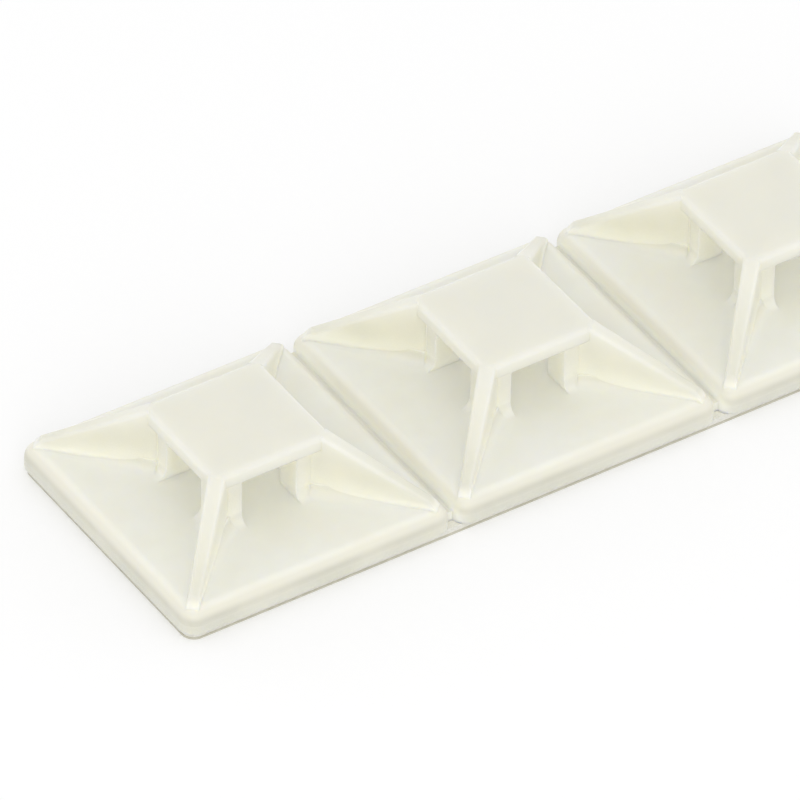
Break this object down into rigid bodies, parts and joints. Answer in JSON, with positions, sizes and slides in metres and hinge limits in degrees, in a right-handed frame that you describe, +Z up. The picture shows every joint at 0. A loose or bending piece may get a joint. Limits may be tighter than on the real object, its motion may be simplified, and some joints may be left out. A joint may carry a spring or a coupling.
{
  "type": "cable tie mount",
  "caption": "Snap-apart strip of square adhesive-backed cable tie mounts, each with a raised platform on corner ribs and crossing slots for a tie.",
  "frame": {"origin": "middle of the strip's underside, where it meets the surface it is stuck to", "axes": "+X along the strip, +Y across it, +Z up, away from the stuck-down face"},
  "size_m": [0.0596, 0.02, 0.0068],
  "materials": {
    "natural_nylon": "satin milky natural nylon, slightly translucent",
    "foam_tape": "matt closed-cell foam with a tacky face on both sides",
    "release_liner": "smooth siliconised paper"
  },
  "bodies": {
    "root": {"mount_strip": "natural_nylon", "foam_tape": "foam_tape", "release_liner": "release_liner"}
  },
  "joints": []
}
